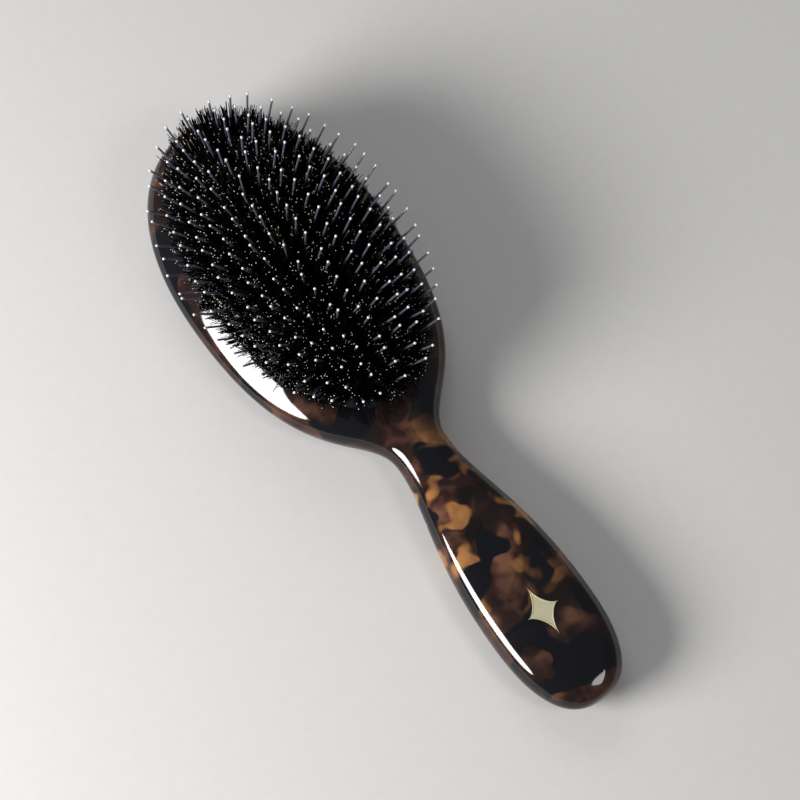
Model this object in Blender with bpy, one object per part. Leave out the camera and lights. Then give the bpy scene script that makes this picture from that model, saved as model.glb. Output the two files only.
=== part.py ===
"""Oval cushion hair brush: acetate body, rubber air cushion, rows of bristle tufts and nylon pins.

The brush lies on its back with the bristles up.  X runs across it, Y along it with the head at +Y,
and the origin is under the middle of its length, on the surface that it lies on.
"""

import math

import bmesh
import bpy
from mathutils import Matrix, Vector

MM = 0.001

# Whole brush
LENGTH = 225 * MM
CLEARANCE = 0.3 * MM

# Body: the three places where its outline is level, as distance from the handle's end, half width
# and thickness, how far each curve between them keeps its direction, and the two rounded ends
BULGE = Vector((32.0, 17.0, 14.4)) * MM
NECK = Vector((92.0, 9.0, 13.0)) * MM
BELLY = Vector((166.0, 36.0, 15.0)) * MM
BULGE_PULL = 32 * MM
NECK_HANDLE_PULL = 15 * MM
NECK_HEAD_PULL = 17 * MM
BELLY_PULL = 60 * MM
HANDLE_END_PLAN = 2.5
HANDLE_END_EDGE = 3.5
HEAD_END_PLAN = 2.2
HEAD_END_EDGE = 6.0
CAP_ANGLE = math.radians(87)
END_STEPS = 9
SWEEP_STEPS = 11
EDGE_ROUNDING = 7.5 * MM
ROUNDING_SHARE = 0.82
SIDE_POINTS = 5
ARC_PULL = 0.5523
SHOULDER = 0.52
NECK_WIDTH = 17 * MM
HEAD_WIDTH = 34 * MM
NECK_FALL = 0.04
HEAD_FALL = 0.31
HEAD_SHOULDER = 0.30
HEAD_PULL = 0.40

# Cushion: rings round an oval, (s, s + OVAL_STRETCH) being a ring's half axes; inner rings are squarer
HEAD_CENTRE_Y = 163 * MM - LENGTH / 2
OVAL_STRETCH = 25 * MM
OPENING = 28.5 * MM
SQUARENESS = 6.0
RIM_HEIGHT = 15 * MM
RECESS_FLOOR = 4.5 * MM
GROOVE_DEPTH = 1.5 * MM
GROOVE_BOTTOM = 10.8 * MM
GROOVE_TOP = 12.7 * MM
MEMBRANE_THICKNESS = 1.5 * MM
DOME_EDGE_HEIGHT = 14.2 * MM
DOME_RISE = 7.3 * MM
DOME_CREST = 0.4 * MM
DOME_RINGS = 4
OVAL_POINTS = 32
VENT_RADIUS = 0.9 * MM
VENT_SIDES = 12
HOLE_REACH = 3 * MM
VENT_Y = HEAD_CENTRE_Y - 51.6 * MM

# Tufts and pins: rows at these oval rings, on both sides of the long axis
ROW_RINGS = [2.5 * MM, 6.9 * MM, 11.3 * MM, 15.7 * MM, 20.1 * MM, 24.4 * MM]
TUFT_SPACING = 5.0 * MM
SPLAY_ACROSS = 38.0
SPLAY_ALONG = 8.5
ARC_SAMPLES = 400
SQUARE_CORNERS = [(1, -1), (1, 1), (-1, 1), (-1, -1)]
TUFT_LENGTH = 15.5 * MM
TUFT_ROOT_RADIUS = 1.45 * MM
TUFT_TOP_RADIUS = 2.0 * MM
TUFT_BELOW = 1.6 * MM
PIN_LENGTH = 19.0 * MM
PIN_RADIUS = 0.5 * MM
BORE_RADIUS = 0.92 * MM
PIN_BELOW = 2.7 * MM
WIRE_THICKNESS = 0.6 * MM
WIRE_END_MARGIN = 1.25 * MM
TUFT_WIRE_HALF_WIDTH = 1.3 * MM
PIN_WIRE_HALF_WIDTH = 0.6 * MM

# Inlay in the handle's face
INLAY_Y = 30 * MM - LENGTH / 2
INLAY_LENGTH = 17 * MM
INLAY_WIDTH = 11 * MM
INLAY_THICKNESS = 0.8 * MM
INLAY_HOLLOW = 0.55
POCKET_CUTTER_STRETCH = 3.0
INLAY_PROUD = 0.05 * MM


def clear_scene():
    for thing in list(bpy.data.objects):
        bpy.data.objects.remove(thing, do_unlink=True)


def new_collection(name):
    collection = bpy.data.collections.new(name)
    bpy.context.scene.collection.children.link(collection)
    return collection


def new_material(name, colour, roughness, metallic=0.0):
    material = bpy.data.materials.new(name)
    material.use_nodes = True
    shader = material.node_tree.nodes["Principled BSDF"]
    shader.inputs["Base Color"].default_value = (*colour, 1.0)
    shader.inputs["Roughness"].default_value = roughness
    shader.inputs["Metallic"].default_value = metallic
    return material


def add_object(name, mesh, collection, material=None):
    thing = bpy.data.objects.new(name, mesh)
    collection.objects.link(thing)
    if material:
        mesh.materials.append(material)
    return thing


def add_cutter(name, mesh, collection):
    cutter = add_object(name, mesh, collection)
    cutter.hide_render = True
    cutter.display_type = "WIRE"
    return cutter


def loft(mesh_data, rings):
    """Add a capped solid through rings with equal numbers of points."""
    layers = [[mesh_data.verts.new(point) for point in ring] for ring in rings]
    count = len(rings[0])
    for lower, upper in zip(layers, layers[1:]):
        for i in range(count):
            j = (i + 1) % count
            mesh_data.faces.new((lower[i], lower[j], upper[j], upper[i]))
    mesh_data.faces.new(list(reversed(layers[0])))
    mesh_data.faces.new(layers[-1])


def finish_mesh(name, mesh_data, smooth_angle=40):
    bmesh.ops.recalc_face_normals(mesh_data, faces=mesh_data.faces)
    mesh = bpy.data.meshes.new(name)
    mesh_data.to_mesh(mesh)
    mesh_data.free()
    mesh.shade_smooth()
    mesh.set_sharp_from_angle(angle=math.radians(smooth_angle))
    return mesh


def subtract(thing, other):
    modifier = thing.modifiers.new(other.name, "BOOLEAN")
    modifier.operation = "DIFFERENCE"
    modifier.solver = "EXACT"
    modifier.object = other


def cubic(start, start_pull, end_pull, end, count):
    """Points along a cubic curve from start to end, with the two pulls as its handles."""
    points = []
    for i in range(count):
        t = i / (count - 1)
        points.append(start * (1 - t) ** 3 + start_pull * 3 * t * (1 - t) ** 2
                      + end_pull * 3 * t ** 2 * (1 - t) + end * t ** 3)
    return points


def end_places(widest, reach, plan, edge):
    """Places from the widest one out to a rounded end.

    The exponents shape it seen from above and from the side: 2 gives an ellipse, more a squarer end."""
    along, half_width, thickness = widest
    cap = math.sin(CAP_ANGLE) ** (2 / plan)
    places = []
    for i in range(1, END_STEPS + 1):
        angle = CAP_ANGLE * i / END_STEPS
        out = math.sin(angle) ** (2 / plan)
        places.append(Vector((along + reach * out / cap,
                              half_width * math.cos(angle) ** (2 / plan),
                              thickness * (1 - out ** edge) ** (1 / edge))))
    return places


def body_places():
    """Distance from the handle's end, half width and thickness, wherever the body has a cross section."""
    ahead = Vector((1.0, 0.0, 0.0))
    handle_end = end_places(BULGE, -BULGE.x, HANDLE_END_PLAN, HANDLE_END_EDGE)
    handle = cubic(BULGE, BULGE + ahead * BULGE_PULL, NECK - ahead * NECK_HANDLE_PULL, NECK, SWEEP_STEPS)
    head = cubic(NECK, NECK + ahead * NECK_HEAD_PULL, BELLY - ahead * BELLY_PULL, BELLY, SWEEP_STEPS)
    head_end = end_places(BELLY, LENGTH - BELLY.x, HEAD_END_PLAN, HEAD_END_EDGE)
    return handle_end[::-1] + handle + head[1:] + head_end


def body_section(along, half_width, thickness):
    """One cross section: flat back, rounded sides, and a top that falls away towards its edges."""
    rounding = min(EDGE_ROUNDING, ROUNDING_SHARE * half_width)
    half_height = thickness / 2
    flat = half_width - rounding
    fullness = min(1.0, max(0.0, (half_width - NECK_WIDTH) / (HEAD_WIDTH - NECK_WIDTH)))
    shoulder = SHOULDER + (HEAD_SHOULDER - SHOULDER) * fullness
    pull = ARC_PULL + (HEAD_PULL - ARC_PULL) * fullness
    fall = NECK_FALL + (HEAD_FALL - NECK_FALL) * fullness
    top = cubic(Vector((half_width, 0.0)), Vector((half_width, half_height * shoulder)),
                Vector((flat + rounding * pull, half_height - rounding * fall)),
                Vector((flat, half_height)), SIDE_POINTS)
    bottom = cubic(Vector((flat, -half_height)), Vector((flat + rounding * ARC_PULL, -half_height)),
                   Vector((half_width, -half_height * ARC_PULL)), Vector((half_width, 0.0)), SIDE_POINTS)
    side = bottom[:-1] + top
    other_side = [Vector((-point.x, point.y)) for point in reversed(side)]
    y = along - LENGTH / 2
    return [Vector((point.x, y, RIM_HEIGHT / 2 + point.y)) for point in side + other_side]


def build_body(collection, cutters, material):
    mesh_data = bmesh.new()
    loft(mesh_data, [body_section(*place) for place in body_places()])
    body = add_object("brush_body", finish_mesh("brush_body", mesh_data), collection, material)
    subtract(body, build_recess_cutter(cutters))
    pocket = build_inlay("inlay_pocket", CLEARANCE, cutters, None)
    pocket.hide_render = True
    pocket.display_type = "WIRE"
    subtract(body, pocket)
    return body


def oval_point(s, angle):
    """Across and along from the head's centre, on the ring with half axes s and s + OVAL_STRETCH."""
    exponent = 2 / (2 + SQUARENESS * max(0.0, 1 - s / OPENING) ** 4)
    across = math.copysign(abs(math.sin(angle)) ** exponent, math.sin(angle))
    along = math.copysign(abs(math.cos(angle)) ** exponent, math.cos(angle))
    return s * across, (s + OVAL_STRETCH) * along


def oval_ring(s, z):
    points = []
    for i in range(OVAL_POINTS):
        across, along = oval_point(s, 2 * math.pi * (i + 0.5) / OVAL_POINTS)
        points.append(Vector((across, HEAD_CENTRE_Y + along, z)))
    return points


def dome_height(s):
    return DOME_EDGE_HEIGHT + DOME_RISE * (1 - (s / OPENING) ** 2)


def build_recess_cutter(cutters):
    """The air chamber and the undercut groove round it."""
    above = RIM_HEIGHT + 2 * MM
    profile = [
        (OPENING, RECESS_FLOOR),
        (OPENING, GROOVE_BOTTOM),
        (OPENING + GROOVE_DEPTH, GROOVE_BOTTOM),
        (OPENING + GROOVE_DEPTH, GROOVE_TOP),
        (OPENING, GROOVE_TOP),
        (OPENING, above),
    ]
    mesh_data = bmesh.new()
    loft(mesh_data, [oval_ring(s, z) for s, z in profile])
    return add_cutter("recess_cutter", finish_mesh("recess_cutter", mesh_data), cutters)


def build_membrane(collection, cutters, material):
    """The domed rubber sheet, its upright edge and the flange in the body's groove."""
    edge = OPENING - CLEARANCE
    flange = OPENING + GROOVE_DEPTH - CLEARANCE
    inner = edge - MEMBRANE_THICKNESS
    outer_dome = [DOME_CREST + (edge - DOME_CREST) * i / DOME_RINGS for i in range(DOME_RINGS + 1)]
    inner_dome = [DOME_CREST + (inner - DOME_CREST) * i / DOME_RINGS for i in range(DOME_RINGS + 1)]
    profile = [(s, dome_height(s)) for s in outer_dome]
    profile += [
        (edge, GROOVE_TOP - CLEARANCE),
        (flange, GROOVE_TOP - CLEARANCE),
        (flange, GROOVE_BOTTOM + CLEARANCE),
        (inner, GROOVE_BOTTOM + CLEARANCE),
    ]
    profile += [(s, dome_height(s) - MEMBRANE_THICKNESS) for s in reversed(inner_dome)]
    mesh_data = bmesh.new()
    loft(mesh_data, [oval_ring(s, z) for s, z in profile])
    mesh = finish_mesh("cushion_membrane", mesh_data)
    membrane = add_object("cushion_membrane", mesh, collection, material)

    holes = bmesh.new()
    for place in all_tuft_places():
        radius = TUFT_ROOT_RADIUS + CLEARANCE * math.sqrt(2)
        loft(holes, [axis_ring(place, -HOLE_REACH, radius), axis_ring(place, HOLE_REACH, radius)])
    vent = Matrix.Translation((0.0, VENT_Y, RIM_HEIGHT))
    bmesh.ops.create_cone(holes, cap_ends=True, segments=VENT_SIDES, radius1=VENT_RADIUS,
                          radius2=VENT_RADIUS, depth=RIM_HEIGHT, matrix=vent)
    subtract(membrane, add_cutter("hole_cutter", finish_mesh("hole_cutter", holes), cutters))
    return membrane


def half_ring_places(s, side):
    """Evenly spaced places along one side of a ring: point on the membrane, direction, and the ring's run."""
    arc = [Vector(oval_point(s, side * math.pi * (1 - i / ARC_SAMPLES))) for i in range(ARC_SAMPLES + 1)]
    travelled = [0.0]
    for start, end in zip(arc, arc[1:]):
        travelled.append(travelled[-1] + (end - start).length)
    count = round(travelled[-1] / TUFT_SPACING)
    places = []
    for i in range(count):
        target = travelled[-1] * (i + 0.5) / count
        before = max(k for k in range(ARC_SAMPLES) if travelled[k] <= target)
        step = arc[before + 1] - arc[before]
        across, along = arc[before] + step * (target - travelled[before]) / step.length
        point = Vector((across, HEAD_CENTRE_Y + along, dome_height(s)))
        direction = Vector((SPLAY_ACROSS * across, SPLAY_ALONG * along, 1.0)).normalized()
        step = step.to_3d()
        run = (step - direction * step.dot(direction)).normalized()
        places.append((point, direction, run))
    return places


def all_tuft_places():
    return [place for s in ROW_RINGS for side in (-1, 1) for place in half_ring_places(s, side)]


def axis_ring(place, distance, radius):
    """A small square round a tuft's axis, in line with its ring, at a distance along the axis."""
    point, direction, run = place
    across = run.cross(direction)
    centre = point + direction * distance
    reach = radius / math.sqrt(2)
    return [centre + across * reach * i + run * reach * j for i, j in SQUARE_CORNERS]


def wire_section(place, height, half_width):
    """Four corners of the flat wire's cross section, whose upper face is at a height along the axis."""
    point, direction, run = place
    across = run.cross(direction) * half_width
    top = point + direction * height
    bottom = top - direction * WIRE_THICKNESS
    return [top + across, top - across, bottom - across, bottom + across]


def wire_joints(places):
    """Where one tuft's length of wire meets the next, and the wire's two ends."""
    joints = []
    for before, after in zip(places, places[1:]):
        direction = (before[1] + after[1]).normalized()
        step = after[0] - before[0]
        run = (step - direction * step.dot(direction)).normalized()
        joints.append(((before[0] + after[0]) / 2, direction, run))
    first_point, first_direction, first_run = places[0]
    last_point, last_direction, last_run = places[-1]
    start = (first_point - first_run * WIRE_END_MARGIN, first_direction, first_run)
    end = (last_point + last_run * WIRE_END_MARGIN, last_direction, last_run)
    return [start, *joints, end]


def add_walls(mesh_data, lower, upper):
    """Four quads between two rings of four vertices."""
    for i in range(4):
        j = (i + 1) % 4
        mesh_data.faces.new((lower[i], lower[j], upper[j], upper[i]))


def build_comb(name, places, height, half_width, rods, bore, collection, material):
    """Square rods standing on one flat wire.  rods gives each one's distances and radii from its foot up.

    With a bore, a square hole of that radius runs through each rod and the wire under it."""
    comb = bmesh.new()

    def vertices(points):
        return [comb.verts.new(point) for point in points]

    sections = [vertices(wire_section(joint, height, half_width)) for joint in wire_joints(places)]
    comb.faces.new(sections[0])
    comb.faces.new(list(reversed(sections[-1])))
    for place, start, end in zip(places, sections, sections[1:]):
        rings = [vertices(axis_ring(place, distance, radius)) for distance, radius in rods]
        upper_face = [start[0], end[0], end[1], start[1]]
        lower_face = [start[3], end[3], end[2], start[2]]
        comb.faces.new((start[0], start[3], end[3], end[0]))
        comb.faces.new((start[1], end[1], end[2], start[2]))
        add_walls(comb, upper_face, rings[0])
        for lower, upper in zip(rings, rings[1:]):
            add_walls(comb, lower, upper)
        if bore:
            mouth = vertices(axis_ring(place, rods[-1][0], bore))
            outlet = vertices(axis_ring(place, height - WIRE_THICKNESS, bore))
            add_walls(comb, rings[-1], mouth)
            add_walls(comb, mouth, outlet)
            add_walls(comb, outlet, lower_face)
        else:
            comb.faces.new(rings[-1])
            comb.faces.new(lower_face)
    return add_object(name, finish_mesh(name, comb), collection, material)


def build_tuft_row(name, places, collection, material):
    """Solid tufts on one flat draw wire under the membrane, each bored for its pin."""
    root = -MEMBRANE_THICKNESS - TUFT_BELOW
    rods = [(root, TUFT_ROOT_RADIUS), (TUFT_LENGTH, TUFT_TOP_RADIUS)]
    return build_comb(name, places, root, TUFT_WIRE_HALF_WIDTH, rods, BORE_RADIUS, collection, material)


def build_pin_row(name, places, collection, material):
    """Pins held at their feet by one flat wire."""
    root = -MEMBRANE_THICKNESS - PIN_BELOW
    rods = [(root, PIN_RADIUS), (PIN_LENGTH, PIN_RADIUS)]
    return build_comb(name, places, root, PIN_WIRE_HALF_WIDTH, rods, None, collection, material)


def build_inlay(name, margin, collection, material):
    """A lozenge plate with hollow sides, in the handle's face; with a margin it is the pocket's cutter."""
    half_width = INLAY_WIDTH / 2 + margin
    half_length = INLAY_LENGTH / 2 + margin * INLAY_LENGTH / INLAY_WIDTH
    corners = [Vector((half_width, 0.0)), Vector((0.0, half_length)),
               Vector((-half_width, 0.0)), Vector((0.0, -half_length))]
    curve = bpy.data.curves.new(name, "CURVE")
    curve.dimensions = "2D"
    curve.fill_mode = "BOTH"
    curve.extrude = INLAY_THICKNESS / 2
    spline = curve.splines.new("BEZIER")
    spline.use_cyclic_u = True
    spline.resolution_u = 6
    spline.bezier_points.add(len(corners) - 1)
    for knot, corner in zip(spline.bezier_points, corners):
        knot.handle_left_type = "FREE"
        knot.handle_right_type = "FREE"
        knot.co = (*corner, 0.0)
        knot.handle_left = (*(corner * INLAY_HOLLOW), 0.0)
        knot.handle_right = (*(corner * INLAY_HOLLOW), 0.0)
    top = (RIM_HEIGHT + BULGE.z) / 2 + INLAY_PROUD
    guide = bpy.data.objects.new(name + "_outline", curve)
    collection.objects.link(guide)
    evaluated = guide.evaluated_get(bpy.context.evaluated_depsgraph_get())
    mesh = bpy.data.meshes.new_from_object(evaluated)
    bpy.data.objects.remove(guide, do_unlink=True)
    mesh_data = bmesh.new()
    mesh_data.from_mesh(mesh)
    bmesh.ops.remove_doubles(mesh_data, verts=mesh_data.verts, dist=0.001 * MM)
    bmesh.ops.recalc_face_normals(mesh_data, faces=mesh_data.faces)
    stretch = 1.0 if margin == 0.0 else POCKET_CUTTER_STRETCH
    middle = top - INLAY_THICKNESS - margin + INLAY_THICKNESS * stretch / 2
    bmesh.ops.scale(mesh_data, vec=(1.0, 1.0, stretch), verts=mesh_data.verts)
    bmesh.ops.translate(mesh_data, vec=(0.0, INLAY_Y, middle), verts=mesh_data.verts)
    mesh_data.to_mesh(mesh)
    mesh_data.free()
    mesh.name = name
    return add_object(name, mesh, collection, material)


def build_brush():
    clear_scene()
    parts = new_collection("cushion_hair_brush")
    cutters = new_collection("cutters")
    acetate = new_material("tortoiseshell_acetate", (0.035, 0.016, 0.008), 0.08)
    rubber = new_material("cushion_rubber", (0.02, 0.02, 0.02), 0.6)
    bristle = new_material("dark_bristle", (0.012, 0.010, 0.009), 0.35)
    nylon = new_material("clear_nylon", (0.45, 0.5, 0.58), 0.2)
    brass = new_material("pale_brass", (0.72, 0.6, 0.36), 0.3, metallic=1.0)

    build_body(parts, cutters, acetate)
    build_inlay("handle_inlay", 0.0, parts, brass)
    build_membrane(parts, cutters, rubber)
    for number, s in enumerate(ROW_RINGS, start=1):
        for side, side_name in ((-1, "left"), (1, "right")):
            places = half_ring_places(s, side)
            build_tuft_row(f"tuft_row_{side_name}_{number}", places, parts, bristle)
            build_pin_row(f"pin_row_{side_name}_{number}", places, parts, nylon)


build_brush()
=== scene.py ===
"""The looks of the oval cushion hair brush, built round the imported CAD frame.

The brush lies on its back.  Lengths are in metres, in the frame of the CAD model: X across the brush,
Y along it with the head at +Y, Z up.
"""

import math

import bmesh
import bpy
import numpy as np
from mathutils import Matrix, Vector


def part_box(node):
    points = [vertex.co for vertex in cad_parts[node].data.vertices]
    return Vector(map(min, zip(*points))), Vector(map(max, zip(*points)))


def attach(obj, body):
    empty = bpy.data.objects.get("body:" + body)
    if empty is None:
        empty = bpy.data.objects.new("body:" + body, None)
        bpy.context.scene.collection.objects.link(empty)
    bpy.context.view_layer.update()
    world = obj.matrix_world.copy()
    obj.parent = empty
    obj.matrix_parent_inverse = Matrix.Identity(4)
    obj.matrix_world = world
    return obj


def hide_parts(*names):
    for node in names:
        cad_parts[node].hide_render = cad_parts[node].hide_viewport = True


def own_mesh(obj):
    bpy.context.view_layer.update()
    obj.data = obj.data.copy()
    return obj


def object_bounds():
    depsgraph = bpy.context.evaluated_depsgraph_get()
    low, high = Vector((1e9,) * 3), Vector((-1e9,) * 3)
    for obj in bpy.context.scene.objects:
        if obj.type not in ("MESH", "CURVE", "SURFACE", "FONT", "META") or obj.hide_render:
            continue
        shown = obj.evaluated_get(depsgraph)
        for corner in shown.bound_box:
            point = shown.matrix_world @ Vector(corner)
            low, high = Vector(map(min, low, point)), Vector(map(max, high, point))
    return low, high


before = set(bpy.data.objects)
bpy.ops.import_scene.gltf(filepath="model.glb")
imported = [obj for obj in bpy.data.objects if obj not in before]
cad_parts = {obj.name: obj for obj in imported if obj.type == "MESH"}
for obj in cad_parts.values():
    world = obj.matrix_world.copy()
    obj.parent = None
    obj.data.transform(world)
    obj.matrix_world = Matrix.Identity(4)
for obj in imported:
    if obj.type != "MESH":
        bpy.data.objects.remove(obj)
cad_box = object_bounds()

MM = 0.001
SEED = 41

# Whole brush, as the CAD model has it
LENGTH = 225 * MM
MIDDLE_HEIGHT = 7.5 * MM
RIM_HEIGHT = 15 * MM
HEAD_CENTRE_Y = 50.5 * MM

# Body: the three places where its outline is level, as distance from the handle's end, half width
# and thickness, how far each curve between them keeps its direction, and the two rounded ends
BULGE = Vector((32.0, 17.0, 14.4)) * MM
NECK = Vector((92.0, 9.0, 13.0)) * MM
BELLY = Vector((166.0, 36.0, 15.0)) * MM
BULGE_PULL = 32 * MM
NECK_HANDLE_PULL = 15 * MM
NECK_HEAD_PULL = 17 * MM
BELLY_PULL = 60 * MM
HANDLE_END_PLAN = 2.5
HANDLE_END_EDGE = 3.5
HEAD_END_PLAN = 2.2
HEAD_END_EDGE = 6.0
CAP_ANGLE = math.radians(88)
END_STEPS = 40
SWEEP_STEPS = 56
EDGE_ROUNDING = 7.5 * MM
ROUNDING_SHARE = 0.82
ARC_PULL = 0.5523
SHOULDER = 0.52
NECK_WIDTH = 17 * MM
HEAD_WIDTH = 34 * MM
NECK_FALL = 0.04
HEAD_FALL = 0.31
HEAD_SHOULDER = 0.30
HEAD_PULL = 0.40
SIDE_POINTS = 14

# Cushion: rings round an oval, (s, s + OVAL_STRETCH) being a ring's half axes; inner rings are squarer
OVAL_STRETCH = 25 * MM
OPENING = 28.5 * MM
SQUARENESS = 6.0
RECESS_FLOOR = 4.5 * MM
GROOVE_DEPTH = 1.5 * MM
GROOVE_BOTTOM = 10.8 * MM
GROOVE_TOP = 12.7 * MM
CLEARANCE = 0.3 * MM
MEMBRANE_THICKNESS = 1.5 * MM
DOME_EDGE_HEIGHT = 14.2 * MM
DOME_RISE = 7.3 * MM
LIP = 0.6 * MM
LIP_POINTS = 6
EDGE_GAP = 0.1 * MM
DOME_CREST = 0.4 * MM
DOME_INSET = 0.6 * MM
DOME_FOOT = 1.2 * MM
DOME_LIFT = 0.02 * MM
COLLAR_HEIGHT = 0.45 * MM
COLLAR_RADIUS = 1.9 * MM
COLLAR_START = 0.4 * MM
OVAL_POINTS = 144
DOME_RINGS = 40
INNER_DOME_RINGS = 8

# Tufts and pins
ROW_RINGS = [2.5 * MM, 6.9 * MM, 11.3 * MM, 15.7 * MM, 20.1 * MM, 24.4 * MM]
TUFT_SPACING = 5.0 * MM
SPLAY_ACROSS = 38.0
SPLAY_ALONG = 8.5
ARC_SAMPLES = 400
TUFT_LENGTH = 12.7 * MM
LENGTH_VARIATION = 0.8 * MM
TUFT_ROOT_RADIUS = 1.45 * MM
TUFT_TOP_RADIUS = 2.5 * MM
HOLLOW_TOP = 0.25
ROOT_FILL = 0.42
CROWN = 1.6 * MM
MIDDLE = 0.45
MIDDLE_SPREAD = 0.4
TUFT_LEAN = 0.45 * MM
TIP_SCATTER = 0.4 * MM
MIDDLE_SCATTER = 0.1 * MM
STRAY_SHARE = 0.025
STRAY_REACH = (1.0 * MM, 3.0 * MM)
# Painted glint on the bristle ends: the length of the painted end, the tone above which a fibre's end is
# widened and painted bright, and how much those ends widen
GLINT_LENGTH = 0.4 * MM
GLINT_TONE = 0.88
GLINT_END_WIDENING = 1.1
END_SPREAD = 0.45
END_LEAN = 1.6 * MM
SIDE_TRIM = 2.5 * MM
ROOT_DEPTH = 2.6 * MM
BRISTLES_PER_TUFT = 72
BRISTLE_RADIUS = 0.15 * MM
BRISTLE_SIDES = 3
PIN_LENGTH = 18.9 * MM
PIN_RADIUS = 0.36 * MM
PIN_BALL_RADIUS = 0.43 * MM
PIN_SIDES = 10
PIN_WANDER = 0.045
PIN_SHORTFALL = 0.5 * MM
BALL_POINTS = 6

# Lights: azimuth and elevation in degrees, distance, width, height and watts
SIDE_SOFTBOX = (172, 24, 0.85, 0.56, 0.33, 13.0)
END_SOFTBOX = (-62, 50, 0.90, 0.24, 0.24, 1.1)
BACK_SOFTBOX = (75, 38, 1.30, 0.9, 0.5, 3.0)
HANDLE_AIM = (0.0, -0.1, 0.0)
SKY_COLOUR = (0.93, 0.95, 1.0, 1.0)
SKY_STRENGTH = 0.16

# Camera
LENS = 99
SENSOR = 36
CAMERA_AIM = (4 * MM, -2 * MM, MIDDLE_HEIGHT)
CAMERA_AZIMUTH = -124
CAMERA_ELEVATION = 68
CAMERA_DISTANCE = 674 * MM

# Inlay in the handle's face
INLAY_Y = 30 * MM - LENGTH / 2
INLAY_LENGTH = 17 * MM
INLAY_WIDTH = 11 * MM
INLAY_HOLLOW = 0.55
INLAY_SIDE_POINTS = 17
POCKET_MARGIN = 0.12 * MM
POCKET_DEPTH = 0.1 * MM


# ---------------------------------------------------------------- meshes


def link(name, mesh, material):
    thing = bpy.data.objects.new(name, mesh)
    bpy.context.scene.collection.objects.link(thing)
    mesh.materials.append(material)
    return thing


def loft(mesh_data, rings):
    """A capped solid through rings with equal numbers of points."""
    layers = [[mesh_data.verts.new(point) for point in ring] for ring in rings]
    count = len(rings[0])
    for lower, upper in zip(layers, layers[1:]):
        for i in range(count):
            j = (i + 1) % count
            mesh_data.faces.new((lower[i], lower[j], upper[j], upper[i]))
    mesh_data.faces.new(list(reversed(layers[0])))
    mesh_data.faces.new(layers[-1])


def finish_mesh(name, mesh_data, sharp_angle=50):
    bmesh.ops.recalc_face_normals(mesh_data, faces=mesh_data.faces)
    mesh = bpy.data.meshes.new(name)
    mesh_data.to_mesh(mesh)
    mesh_data.free()
    mesh.shade_smooth()
    mesh.set_sharp_from_angle(angle=math.radians(sharp_angle))
    return mesh


def cut(thing, cutter):
    """Subtract the cutter and apply the result."""
    modifier = thing.modifiers.new("cut", "BOOLEAN")
    modifier.operation = "DIFFERENCE"
    modifier.solver = "EXACT"
    modifier.object = cutter
    bpy.context.view_layer.update()
    evaluated = thing.evaluated_get(bpy.context.evaluated_depsgraph_get())
    mesh = bpy.data.meshes.new_from_object(evaluated)
    thing.modifiers.clear()
    thing.data = mesh
    bpy.data.objects.remove(cutter, do_unlink=True)


def cubic(start, start_pull, end_pull, end, count):
    """Points along a cubic curve from start to end, with the two pulls as its handles."""
    points = []
    for i in range(count):
        t = i / (count - 1)
        points.append(start * (1 - t) ** 3 + start_pull * 3 * t * (1 - t) ** 2
                      + end_pull * 3 * t ** 2 * (1 - t) + end * t ** 3)
    return points


def oval_point(s, angle):
    """Across and along from the head's centre, on the ring with half axes s and s + OVAL_STRETCH."""
    exponent = 2 / (2 + SQUARENESS * max(0.0, 1 - s / OPENING) ** 4)
    across = math.copysign(abs(math.sin(angle)) ** exponent, math.sin(angle))
    along = math.copysign(abs(math.cos(angle)) ** exponent, math.cos(angle))
    return s * across, (s + OVAL_STRETCH) * along


def oval_ring(s, z):
    points = []
    for i in range(OVAL_POINTS):
        across, along = oval_point(s, 2 * math.pi * (i + 0.5) / OVAL_POINTS)
        points.append(Vector((across, HEAD_CENTRE_Y + along, z)))
    return points


def dome_height(s):
    return DOME_EDGE_HEIGHT + DOME_RISE * (1 - (s / OPENING) ** 2)


def half_ring_places(s, side):
    """Evenly spaced places along one side of a ring, as (point on the membrane, direction)."""
    arc = [Vector(oval_point(s, side * math.pi * (1 - i / ARC_SAMPLES))) for i in range(ARC_SAMPLES + 1)]
    travelled = [0.0]
    for start, end in zip(arc, arc[1:]):
        travelled.append(travelled[-1] + (end - start).length)
    count = round(travelled[-1] / TUFT_SPACING)
    places = []
    for i in range(count):
        target = travelled[-1] * (i + 0.5) / count
        before = max(k for k in range(ARC_SAMPLES) if travelled[k] <= target)
        step = arc[before + 1] - arc[before]
        across, along = arc[before] + step * (target - travelled[before]) / step.length
        point = Vector((across, HEAD_CENTRE_Y + along, dome_height(s)))
        direction = Vector((SPLAY_ACROSS * across, SPLAY_ALONG * along, 1.0)).normalized()
        places.append((point, direction))
    return places


# ---------------------------------------------------------------- materials


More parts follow.
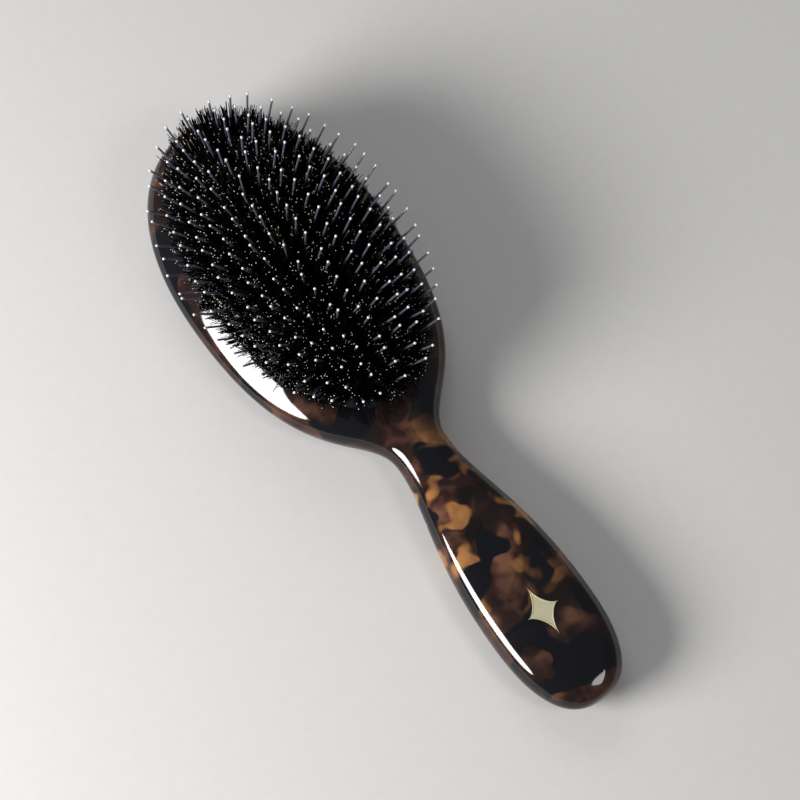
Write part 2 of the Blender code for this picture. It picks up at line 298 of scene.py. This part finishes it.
class Shading:
    """A node material under construction."""

    def __init__(self, name):
        self.material = bpy.data.materials.new(name)
        self.material.use_nodes = True
        self.nodes = self.material.node_tree.nodes
        self.links = self.material.node_tree.links
        self.shader = self.nodes["Principled BSDF"]

    def add(self, kind, inputs=(), **settings):
        node = self.nodes.new(kind)
        for key, value in settings.items():
            setattr(node, key, value)
        for key, value in dict(inputs).items():
            if isinstance(value, bpy.types.NodeSocket):
                self.links.new(value, node.inputs[key])
            else:
                node.inputs[key].default_value = value
        return node

    def maths(self, operation, a, b=0.0, c=0.0, clamp=False):
        return self.add("ShaderNodeMath", {0: a, 1: b, 2: c}, operation=operation, use_clamp=clamp).outputs[0]

    def ramp(self, factor, stops):
        node = self.add("ShaderNodeValToRGB", {"Fac": factor})
        elements = node.color_ramp.elements
        while len(elements) < len(stops):
            elements.new(0.5)
        for element, (position, colour) in zip(elements, stops):
            element.position = position
            element.color = (*colour, 1.0)
        return node.outputs["Color"]

    def mix(self, factor, a, b):
        node = self.add("ShaderNodeMix", data_type="RGBA")
        for index, value in ((0, factor), (6, a), (7, b)):
            if isinstance(value, bpy.types.NodeSocket):
                self.links.new(value, node.inputs[index])
            else:
                node.inputs[index].default_value = value if index == 0 else (*value, 1.0)
        return node.outputs[2]

    def smooth_step(self, value, low, high):
        node = self.add("ShaderNodeMapRange", {"Value": value, "From Min": low, "From Max": high},
                        interpolation_type="SMOOTHSTEP")
        return node.outputs["Result"]

    def place(self):
        return self.add("ShaderNodeTexCoord").outputs["Object"]

    def noise(self, vector, scale, detail=2.0, roughness=0.5):
        return self.add("ShaderNodeTexNoise", {"Vector": vector, "Scale": scale, "Detail": detail,
                                               "Roughness": roughness})

    def bump(self, height, strength, distance):
        node = self.add("ShaderNodeBump", {"Height": height, "Strength": strength, "Distance": distance})
        self.links.new(node.outputs["Normal"], self.shader.inputs["Normal"])

    def set(self, **values):
        for key, value in values.items():
            socket = self.shader.inputs[key.replace("_", " ")]
            if isinstance(value, bpy.types.NodeSocket):
                self.links.new(value, socket)
            else:
                socket.default_value = value


def shifted(shading, vector, offset):
    return shading.add("ShaderNodeVectorMath", {0: vector, 1: offset}, operation="ADD").outputs[0]


def warped(shading, vector, scale, amount):
    """The vector pushed about by noise, so that the blots under it get wandering edges."""
    noise = shading.noise(vector, scale, 1.5).outputs["Color"]
    centred = shading.add("ShaderNodeVectorMath", {0: noise, 1: (0.5, 0.5, 0.5)}, operation="SUBTRACT")
    scaled = shading.add("ShaderNodeVectorMath", {0: centred.outputs[0], "Scale": amount}, operation="SCALE")
    return shading.add("ShaderNodeVectorMath", {0: vector, 1: scaled.outputs[0]}, operation="ADD").outputs[0]


def tortoiseshell():
    """Polished acetate: mauve brown clouds with amber patches, under blots of near black at two depths."""
    shading = Shading("tortoiseshell")
    place = shading.place()
    soft = warped(shading, place, 130.0, 0.0060)
    crisp = warped(shading, place, 115.0, 0.0085)

    clouds = shading.noise(soft, 105.0, 2.0, 0.5).outputs["Fac"]
    ground = shading.ramp(clouds, [
        (0.38, (0.0070, 0.0045, 0.0040)),
        (0.48, (0.0280, 0.0110, 0.0075)),
        (0.58, (0.0800, 0.0330, 0.0230)),
        (0.70, (0.1500, 0.0680, 0.0360)),
    ])
    along = shading.add("ShaderNodeSeparateXYZ", {0: place}).outputs["Y"]
    neck = shading.maths("MULTIPLY", shading.smooth_step(along, -0.095, -0.055),
                         shading.smooth_step(along, -0.004, -0.026))
    wander = shading.noise(shifted(shading, crisp, (0.2, 0.1, 0.3)), 105.0, 1.0, 0.4).outputs["Fac"]
    amber = shading.maths("MULTIPLY", shading.smooth_step(wander, 0.55, 0.64), neck)
    grain = shading.noise(soft, 260.0, 2.0).outputs["Fac"]
    amber_colour = shading.mix(grain, (0.130, 0.052, 0.020), (0.400, 0.185, 0.060))
    colour = shading.mix(amber, ground, amber_colour)
    dim = shading.maths("MULTIPLY_ADD", neck, -0.45, 0.45)
    colour = shading.mix(dim, colour, (0.010, 0.006, 0.005))

    clear_of_amber = shading.maths("SUBTRACT", 1.0, amber)
    deep = shading.noise(shifted(shading, soft, (0.07, 0.4, 0.2)), 95.0, 1.0, 0.4).outputs["Fac"]
    deep_blot = shading.maths("MULTIPLY", shading.smooth_step(deep, 0.47, 0.62), 0.9)
    deep_blot = shading.maths("MULTIPLY", deep_blot, clear_of_amber)
    colour = shading.mix(deep_blot, colour, (0.0100, 0.0058, 0.0055))
    near = shading.noise(shifted(shading, crisp, (0.31, 0.17, 0.05)), 80.0, 0.0, 0.4).outputs["Fac"]
    near_blot = shading.maths("MULTIPLY", shading.smooth_step(near, 0.530, 0.570), clear_of_amber)
    colour = shading.mix(near_blot, colour, (0.0042, 0.0044, 0.0062))

    swirl = shading.noise(place, 900.0, 3.0).outputs["Fac"]
    roughness = shading.add("ShaderNodeMapRange", {"Value": swirl, "To Min": 0.035, "To Max": 0.075})
    waves = shading.noise(place, 130.0, 1.0).outputs["Fac"]
    shading.bump(waves, 0.05, 0.0004)
    shading.set(Base_Color=colour, Roughness=roughness.outputs["Result"], IOR=1.48)
    return shading.material


def cushion_rubber():
    shading = Shading("cushion_rubber")
    place = shading.place()
    grain = shading.noise(place, 1500.0, 3.0).outputs["Fac"]
    dust = shading.noise(place, 240.0, 4.0, 0.6).outputs["Fac"]
    colour = shading.mix(dust, (0.003, 0.003, 0.0035), (0.007, 0.007, 0.008))
    roughness = shading.add("ShaderNodeMapRange", {"Value": grain, "To Min": 0.55, "To Max": 0.75})
    shading.bump(grain, 0.25, 0.0001)
    shading.set(Base_Color=colour, Roughness=roughness.outputs["Result"], Specular_IOR_Level=0.12)
    return shading.material


def bristle_fibre():
    """Black bristle whose ends carry a painted glint, bright on about one fibre in ten.  'tone' differs from
    fibre to fibre, 'tip' rises at the end.
    """
    shading = Shading("bristle_fibre")
    tone = shading.add("ShaderNodeAttribute", attribute_name="tone").outputs["Fac"]
    tip = shading.add("ShaderNodeAttribute", attribute_name="tip").outputs["Fac"]
    shaft = shading.ramp(tone, [
        (0.00, (0.0012, 0.0012, 0.0016)),
        (0.972, (0.0030, 0.0026, 0.0030)),
        (0.980, (0.0400, 0.0250, 0.0110)),
        (1.00, (0.3200, 0.2100, 0.0900)),
    ])
    # painted glint on the cut ends: near black on most fibres, white to pale gold on the highest tones
    tip_glint = shading.ramp(tone, [
        (0.00, (0.003, 0.003, 0.004)),
        (0.87, (0.008, 0.008, 0.010)),
        (0.90, (0.750, 0.750, 0.750)),
        (1.00, (1.000, 0.930, 0.720)),
    ])
    grain = shading.noise(shading.place(), 4000.0, 2.0).outputs["Fac"]
    roughness = shading.add("ShaderNodeMapRange", {"Value": grain, "To Min": 0.22, "To Max": 0.38})
    shading.set(Base_Color=shading.mix(tip, shaft, tip_glint), Roughness=roughness.outputs["Result"],
                IOR=1.5, Specular_IOR_Level=0.3)
    return shading.material


def clear_nylon():
    """Blue-grey translucent nylon that turns milky in the ball at the tip."""
    shading = Shading("clear_nylon")
    tip = shading.add("ShaderNodeAttribute", attribute_name="tip").outputs["Fac"]
    cloud = shading.noise(shading.place(), 700.0, 2.0).outputs["Fac"]
    shaft = shading.mix(cloud, (0.095, 0.105, 0.145), (0.18, 0.195, 0.25))
    roughness = shading.add("ShaderNodeMapRange", {"Value": cloud, "To Min": 0.12, "To Max": 0.24})
    transmission = shading.maths("MULTIPLY_ADD", tip, -0.25, 0.45)
    shading.set(Base_Color=shading.mix(tip, shaft, (0.86, 0.88, 0.92)), Roughness=roughness.outputs["Result"],
                IOR=1.5, Transmission_Weight=transmission)
    return shading.material


def brushed_brass():
    """Pale gold, brushed along the handle."""
    shading = Shading("brushed_brass")
    place = shading.place()
    stretched = shading.add("ShaderNodeMapping", {"Vector": place, "Scale": (9000.0, 320.0, 900.0)})
    lines = shading.noise(stretched.outputs["Vector"], 1.0, 3.0, 0.6).outputs["Fac"]
    tarnish = shading.noise(place, 190.0, 2.0).outputs["Fac"]
    colour = shading.mix(tarnish, (0.80, 0.71, 0.44), (0.90, 0.84, 0.60))
    roughness = shading.add("ShaderNodeMapRange", {"Value": lines, "To Min": 0.24, "To Max": 0.46})
    shading.bump(lines, 0.2, 0.00004)
    shading.set(Base_Color=colour, Metallic=0.6, Roughness=roughness.outputs["Result"])
    return shading.material


def pale_paper():
    shading = Shading("pale_paper")
    place = shading.place()
    fibres = shading.noise(place, 260.0, 4.0, 0.6).outputs["Fac"]
    colour = shading.mix(fibres, (0.60, 0.59, 0.575), (0.64, 0.63, 0.615))
    shading.bump(fibres, 0.05, 0.0002)
    shading.set(Base_Color=colour, Roughness=0.85)
    return shading.material


# ---------------------------------------------------------------- brush body


def end_places(widest, reach, plan, edge):
    """Places from the widest one out to a rounded end.

    The exponents shape it seen from above and from the side: 2 gives an ellipse, more a squarer end."""
    along, half_width, thickness = widest
    cap = math.sin(CAP_ANGLE) ** (2 / plan)
    places = []
    for i in range(1, END_STEPS + 1):
        angle = CAP_ANGLE * i / END_STEPS
        out = math.sin(angle) ** (2 / plan)
        places.append(Vector((along + reach * out / cap,
                              half_width * math.cos(angle) ** (2 / plan),
                              thickness * (1 - out ** edge) ** (1 / edge))))
    return places


def body_places():
    """Distance from the handle's end, half width and thickness, wherever the body has a cross section."""
    ahead = Vector((1.0, 0.0, 0.0))
    handle_end = end_places(BULGE, -BULGE.x, HANDLE_END_PLAN, HANDLE_END_EDGE)
    handle = cubic(BULGE, BULGE + ahead * BULGE_PULL, NECK - ahead * NECK_HANDLE_PULL, NECK, SWEEP_STEPS)
    head = cubic(NECK, NECK + ahead * NECK_HEAD_PULL, BELLY - ahead * BELLY_PULL, BELLY, SWEEP_STEPS)
    head_end = end_places(BELLY, LENGTH - BELLY.x, HEAD_END_PLAN, HEAD_END_EDGE)
    return handle_end[::-1] + handle + head[1:] + head_end


def body_section(along, half_width, thickness):
    """One cross section: flat back, rounded sides, and a top that falls away towards its edges."""
    rounding = min(EDGE_ROUNDING, ROUNDING_SHARE * half_width)
    half_height = thickness / 2
    flat = half_width - rounding
    fullness = min(1.0, max(0.0, (half_width - NECK_WIDTH) / (HEAD_WIDTH - NECK_WIDTH)))
    shoulder = SHOULDER + (HEAD_SHOULDER - SHOULDER) * fullness
    pull = ARC_PULL + (HEAD_PULL - ARC_PULL) * fullness
    fall = NECK_FALL + (HEAD_FALL - NECK_FALL) * fullness
    top = cubic(Vector((half_width, 0.0)), Vector((half_width, half_height * shoulder)),
                Vector((flat + rounding * pull, half_height - rounding * fall)),
                Vector((flat, half_height)), SIDE_POINTS)
    bottom = cubic(Vector((flat, -half_height)), Vector((flat + rounding * ARC_PULL, -half_height)),
                   Vector((half_width, -half_height * ARC_PULL)), Vector((half_width, 0.0)), SIDE_POINTS)
    side = bottom[:-1] + top
    other_side = [Vector((-point.x, point.y)) for point in reversed(side)]
    y = along - LENGTH / 2
    return [Vector((point.x, y, MIDDLE_HEIGHT + point.y)) for point in side + other_side]


def recess_cutter():
    """The air chamber, the undercut groove and the softened lip of the opening."""
    above = RIM_HEIGHT + 2 * MM
    profile = [
        (OPENING, RECESS_FLOOR),
        (OPENING, GROOVE_BOTTOM),
        (OPENING + GROOVE_DEPTH, GROOVE_BOTTOM),
        (OPENING + GROOVE_DEPTH, GROOVE_TOP),
        (OPENING, GROOVE_TOP),
    ]
    for i in range(LIP_POINTS):
        angle = math.pi / 2 * i / (LIP_POINTS - 1)
        profile.append((OPENING + LIP * (1 - math.cos(angle)), RIM_HEIGHT - LIP * (1 - math.sin(angle))))
    profile.append((OPENING + LIP, above))
    mesh_data = bmesh.new()
    loft(mesh_data, [oval_ring(s, z) for s, z in profile])
    cutter = bpy.data.objects.new("recess_cutter", finish_mesh("recess_cutter", mesh_data))
    bpy.context.scene.collection.objects.link(cutter)
    return cutter


def inlay_outline(grow):
    """A lozenge with hollow sides, as points round it, grown outwards by a little."""
    half_width = INLAY_WIDTH / 2 + grow
    half_length = INLAY_LENGTH / 2 + grow * INLAY_LENGTH / INLAY_WIDTH
    corners = [Vector((half_width, 0.0)), Vector((0.0, half_length)),
               Vector((-half_width, 0.0)), Vector((0.0, -half_length))]
    points = []
    for start, end in zip(corners, corners[1:] + corners[:1]):
        points += cubic(start, start * INLAY_HOLLOW, end * INLAY_HOLLOW, end, INLAY_SIDE_POINTS)[:-1]
    return points


def inlay_layer(grow, z):
    return [Vector((point.x, INLAY_Y + point.y, z)) for point in inlay_outline(grow)]


def build_body(material):
    mesh_data = bmesh.new()
    loft(mesh_data, [body_section(*place) for place in body_places()])
    body = link("brush_body_acetate", finish_mesh("brush_body_acetate", mesh_data), material)
    cut(body, recess_cutter())
    low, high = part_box("handle_inlay")
    pocket = bmesh.new()
    loft(pocket, [inlay_layer(POCKET_MARGIN, low[2] - POCKET_DEPTH),
                  inlay_layer(POCKET_MARGIN, high[2] + 2 * MM)])
    cutter = bpy.data.objects.new("pocket_cutter", finish_mesh("pocket_cutter", pocket))
    bpy.context.scene.collection.objects.link(cutter)
    cut(body, cutter)
    body.data.shade_smooth()
    body.data.set_sharp_from_angle(angle=math.radians(50))
    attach(body, "brush")
    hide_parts("brush_body")


def build_inlay(material):
    """The brass plate, with a rounded edge and a fine raised border."""
    low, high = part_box("handle_inlay")
    top = high[2]
    layers = [
        inlay_layer(0.0, low[2]),
        inlay_layer(0.0, top - 0.12 * MM),
        inlay_layer(-0.05 * MM, top - 0.03 * MM),
        inlay_layer(-0.14 * MM, top),
        inlay_layer(-0.50 * MM, top),
        inlay_layer(-0.60 * MM, top - 0.10 * MM),
        inlay_layer(-1.20 * MM, top - 0.10 * MM),
    ]
    mesh_data = bmesh.new()
    loft(mesh_data, layers)
    inlay = link("handle_inlay_plate", finish_mesh("handle_inlay_plate", mesh_data, 35), material)
    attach(inlay, "brush")
    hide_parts("handle_inlay")


# ---------------------------------------------------------------- cushion, tufts and pins


def build_cushion_edge(material):
    """The upright rim of the cushion and the flange that holds it in the groove."""
    edge = OPENING - EDGE_GAP
    flange = OPENING + GROOVE_DEPTH - CLEARANCE
    inner = edge - MEMBRANE_THICKNESS
    top = DOME_EDGE_HEIGHT
    profile = [
        (inner, GROOVE_BOTTOM + CLEARANCE),
        (flange, GROOVE_BOTTOM + CLEARANCE),
        (flange, GROOVE_TOP - CLEARANCE),
        (edge, GROOVE_TOP - CLEARANCE),
        (edge, top - 0.5 * MM),
        (edge - 0.12 * MM, top - 0.15 * MM),
        (edge - 0.40 * MM, top),
        (inner, top),
    ]
    mesh_data = bmesh.new()
    layers = [[mesh_data.verts.new(point) for point in oval_ring(s, z)] for s, z in profile]
    for lower, upper in zip(layers, layers[1:] + layers[:1]):
        for i in range(OVAL_POINTS):
            j = (i + 1) % OVAL_POINTS
            mesh_data.faces.new((lower[i], lower[j], upper[j], upper[i]))
    rim = link("cushion_rubber_edge", finish_mesh("cushion_rubber_edge", mesh_data), material)
    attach(rim, "brush")
    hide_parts("cushion_membrane")


def build_cushion_dome(material):
    """The dome, drawn up into a low collar round each tuft."""
    edge = OPENING - DOME_INSET
    inner = edge - DOME_FOOT
    base = DOME_EDGE_HEIGHT + DOME_LIFT
    outer_dome = [DOME_CREST + (edge - DOME_CREST) * i / DOME_RINGS for i in range(DOME_RINGS + 1)]
    inner_dome = [DOME_CREST + (inner - DOME_CREST) * i / INNER_DOME_RINGS
                  for i in range(INNER_DOME_RINGS + 1)]
    profile = [(s, dome_height(s)) for s in outer_dome]
    profile += [(edge, base), (inner, base)]
    profile += [(s, max(base, dome_height(s) - MEMBRANE_THICKNESS)) for s in reversed(inner_dome[:-1])]
    mesh_data = bmesh.new()
    loft(mesh_data, [oval_ring(s, z) for s, z in profile])
    roots = np.array([list(point) for s in ROW_RINGS for side in (-1, 1)
                      for point, direction in half_ring_places(s, side)])
    for vertex in mesh_data.verts:
        if vertex.co.z < DOME_EDGE_HEIGHT + COLLAR_START:
            continue
        nearest = np.min(np.hypot(roots[:, 0] - vertex.co.x, roots[:, 1] - vertex.co.y))
        vertex.co.z += COLLAR_HEIGHT * math.exp(-(nearest / COLLAR_RADIUS) ** 4)
    cushion = link("cushion_rubber_dome", finish_mesh("cushion_rubber_dome", mesh_data), material)
    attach(cushion, "brush")
    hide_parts("cushion_membrane")
    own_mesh(cushion)


def rods(name, levels, radii, sides, attributes, material):
    """Thin rods through several points each, as one mesh of closed bodies."""
    count, depth = levels.shape[:2]
    axis = levels[:, -1] - levels[:, 0]
    axis /= np.linalg.norm(axis, axis=1)[:, None]
    across = np.cross(axis, np.array([0.0, 1.0, 0.0]))
    across /= np.linalg.norm(across, axis=1)[:, None]
    along = np.cross(axis, across)
    angles = 2 * np.pi * np.arange(sides) / sides
    circle = np.cos(angles)[None, :, None] * across[:, None] + np.sin(angles)[None, :, None] * along[:, None]
    points = levels[:, :, None] + circle[:, None] * radii[:, :, None, None]
    faces = []
    for level in range(depth - 1):
        for i in range(sides):
            j = (i + 1) % sides
            below, above = level * sides, (level + 1) * sides
            faces.append((below + i, below + j, above + j, above + i))
    first_vertex = np.arange(count)[:, None, None] * depth * sides
    quads = (first_vertex + np.array(faces)[None]).reshape(-1, 4)
    caps = np.array([list(range(sides))[::-1], [(depth - 1) * sides + i for i in range(sides)]])
    caps = (first_vertex + caps[None]).reshape(-1, sides)
    mesh = bpy.data.meshes.new(name)
    mesh.from_pydata(points.reshape(-1, 3).tolist(), [], quads.tolist() + caps.tolist())
    mesh.shade_smooth()
    mesh.set_sharp_from_angle(angle=math.radians(80))
    for key, values in attributes.items():
        layer = mesh.attributes.new(key, "FLOAT", "POINT")
        layer.data.foreach_set("value", np.repeat(values.reshape(-1), sides).astype(np.float32))
    return link(name, mesh, material)


def scattered(random, spread):
    """A small random step across a tuft's axis."""
    return Vector((random.normal(0, spread), random.normal(0, spread)))


def kept_inside(tip):
    """A bristle's tip, drawn back inside the width that the CAD model has."""
    limit = cad_box[1][0] - 2 * BRISTLE_RADIUS
    return Vector((min(limit, max(-limit, tip.x)), tip.y, tip.z))


def build_tufts(name, places, outermost, random, material):
    """Bristles of one row of tufts, each fibre a separate closed rod.

    At the oval's two ends the outermost tufts fan out over the rim, and along its sides they are shorter."""
    levels, radii, tones = [], [], []
    golden = math.pi * (3 - math.sqrt(5))
    for point, direction in places:
        across = Vector((0.0, 1.0, 0.0)).cross(direction).normalized()
        along = direction.cross(across)
        turn = random.uniform(0, 2 * math.pi)
        lean = scattered(random, TUFT_LEAN)
        fan = outermost * ((point.y - HEAD_CENTRE_Y) / (ROW_RINGS[-1] + OVAL_STRETCH)) ** 4
        top_radius = TUFT_TOP_RADIUS * (1 + END_SPREAD * fan)
        tuft_length = TUFT_LENGTH - SIDE_TRIM * outermost * (1 - fan)
        lean.y += math.copysign(END_LEAN * fan, point.y - HEAD_CENTRE_Y) * math.copysign(1, along.y)
        for i in range(BRISTLES_PER_TUFT):
            share = math.sqrt((i + 0.5) / BRISTLES_PER_TUFT)
            way = Vector((math.cos(turn + golden * i), math.sin(turn + golden * i)))
            spread = top_radius * (HOLLOW_TOP + (1 - HOLLOW_TOP) * share)
            if random.random() < STRAY_SHARE:
                spread += random.uniform(*STRAY_REACH)
            length = tuft_length + random.normal(0, LENGTH_VARIATION) - CROWN * share ** 3
            at_root = way * TUFT_ROOT_RADIUS * (ROOT_FILL + (1 - ROOT_FILL) * share)
            at_tip = way * spread + lean + scattered(random, TIP_SCATTER)
            halfway = at_root * (1 - MIDDLE_SPREAD) + at_tip * MIDDLE_SPREAD
            halfway += scattered(random, MIDDLE_SCATTER)

            def at(distance, offset):
                return point + direction * distance + across * offset.x + along * offset.y

            tip = kept_inside(at(length, at_tip))
            middle = at(length * MIDDLE, halfway)
            # the last stretch of each fibre carries the painted glint
            below_tip = tip + (middle - tip).normalized() * GLINT_LENGTH
            levels.append((at(-ROOT_DEPTH, at_root), middle, below_tip, tip))
            thickness = BRISTLE_RADIUS * random.uniform(0.75, 1.15)
            tone = random.random()
            # fibres whose ends carry the bright painted glint get wider ends
            at_end = thickness * (GLINT_END_WIDENING if tone > GLINT_TONE else 0.8)
            radii.append((thickness, thickness, at_end, at_end))
            tones.append(tone)
    tones = np.repeat(np.array(tones)[:, None], 4, axis=1)
    # 'tip' rises along the last stretch, where the painted glint goes
    tips = np.tile(np.array([0.0, 0.0, 0.0, 1.0]), (len(tones), 1))
    attributes = {"tone": tones, "tip": tips}
    return rods(name, np.array(levels), np.array(radii), BRISTLE_SIDES, attributes, material)


def build_pins(name, places, random, material):
    """Straight nylon pins of one row, with a ball on each tip."""
    mesh_data = bmesh.new()
    tip_values = []
    ball = PIN_BALL_RADIUS
    for point, direction in places:
        wander = scattered(random, PIN_WANDER).to_3d()
        aim = (direction + wander).normalized()
        across = Vector((0.0, 1.0, 0.0)).cross(aim).normalized()
        along = aim.cross(across)
        length = PIN_LENGTH - abs(random.normal(0, PIN_SHORTFALL))
        overhang = abs((point + aim * length).x) + ball - cad_box[1][0]
        if overhang > 0:
            length -= overhang / abs(aim.x)
        profile = [(-ROOT_DEPTH, PIN_RADIUS * 1.1, 0.0), (length - 3.2 * ball, PIN_RADIUS * 0.95, 0.0),
                   (length - 2.1 * ball, PIN_RADIUS * 0.9, 0.15)]
        for i in range(BALL_POINTS):
            angle = math.pi * (0.28 + 0.66 * i / (BALL_POINTS - 1))
            profile.append((length - ball - ball * math.cos(angle), ball * math.sin(angle), 1.0))
        rings = []
        for distance, radius, tip in profile:
            centre = point + aim * distance
            rings.append([centre + radius * (math.cos(t) * across + math.sin(t) * along)
                          for t in (2 * math.pi * k / PIN_SIDES for k in range(PIN_SIDES))])
            tip_values += [tip] * PIN_SIDES
        loft(mesh_data, rings)
    mesh = finish_mesh(name, mesh_data, 75)
    layer = mesh.attributes.new("tip", "FLOAT", "POINT")
    layer.data.foreach_set("value", np.array(tip_values, np.float32))
    return link(name, mesh, material)


def build_rows(fibre, nylon):
    random = np.random.default_rng(SEED)
    for number, s in enumerate(ROW_RINGS, start=1):
        outermost = number == len(ROW_RINGS)
        for side, side_name in ((-1, "left"), (1, "right")):
            places = half_ring_places(s, side)
            tufts = build_tufts(f"bristles_{side_name}_{number}", places, outermost, random, fibre)
            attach(tufts, f"ring_{number}")
            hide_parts(f"tuft_row_{side_name}_{number}")
            pins = build_pins(f"pins_{side_name}_{number}", places, random, nylon)
            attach(pins, f"ring_{number}")
            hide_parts(f"pin_row_{side_name}_{number}")


# ---------------------------------------------------------------- setting


def build_floor(material):
    bpy.ops.mesh.primitive_plane_add(size=4.0, location=(0.0, 0.0, cad_box[0][2]))
    floor = bpy.context.object
    floor.name = "floor"
    floor.data.materials.append(material)


def add_softbox(name, placing, target):
    """An oval area light, turned towards the target."""
    azimuth, elevation, distance, width, height, power = placing
    data = bpy.data.lights.new(name, "AREA")
    data.shape = "ELLIPSE"
    data.size = width
    data.size_y = height
    data.energy = power
    lamp = bpy.data.objects.new(name, data)
    lamp.location = sky_place(azimuth, elevation, distance)
    lamp.rotation_euler = (Vector(target) - lamp.location).to_track_quat("-Z", "Y").to_euler()
    bpy.context.scene.collection.objects.link(lamp)


def sky_place(azimuth, elevation, distance):
    """A point round the brush: azimuth in degrees from +X towards +Y, elevation above the floor."""
    turn, lift = math.radians(azimuth), math.radians(elevation)
    level = math.cos(lift)
    return Vector((level * math.cos(turn), level * math.sin(turn), math.sin(lift))) * distance


def build_lights():
    centre = (0.0, 0.0, 0.0)
    add_softbox("side_softbox", SIDE_SOFTBOX, centre)
    add_softbox("end_softbox", END_SOFTBOX, HANDLE_AIM)
    add_softbox("back_softbox", BACK_SOFTBOX, centre)
    world = bpy.data.worlds.new("soft_studio")
    bpy.context.scene.world = world
    world.use_nodes = True
    background = world.node_tree.nodes["Background"]
    background.inputs["Color"].default_value = SKY_COLOUR
    background.inputs["Strength"].default_value = SKY_STRENGTH


def build_camera():
    """Looking down on the brush from the handle's left, 22 degrees off the vertical."""
    data = bpy.data.cameras.new("camera")
    data.lens = LENS
    data.sensor_width = SENSOR
    data.clip_start = 0.01
    camera = bpy.data.objects.new("camera", data)
    aim = Vector(CAMERA_AIM)
    location = aim + sky_place(CAMERA_AZIMUTH, CAMERA_ELEVATION, CAMERA_DISTANCE)
    forward = (aim - location).normalized()
    right = forward.cross(Vector((0.0, 0.0, 1.0))).normalized()
    up = right.cross(forward)
    turn = Matrix((right, up, -forward)).transposed().to_4x4()
    camera.matrix_world = Matrix.Translation(location) @ turn
    bpy.context.scene.collection.objects.link(camera)
    bpy.context.scene.camera = camera


build_camera()
build_lights()
build_floor(pale_paper())
build_body(tortoiseshell())
build_inlay(brushed_brass())
rubber = cushion_rubber()
build_cushion_edge(rubber)
build_cushion_dome(rubber)
build_rows(bristle_fibre(), clear_nylon())
bpy.context.scene.view_settings.view_transform = "Standard"
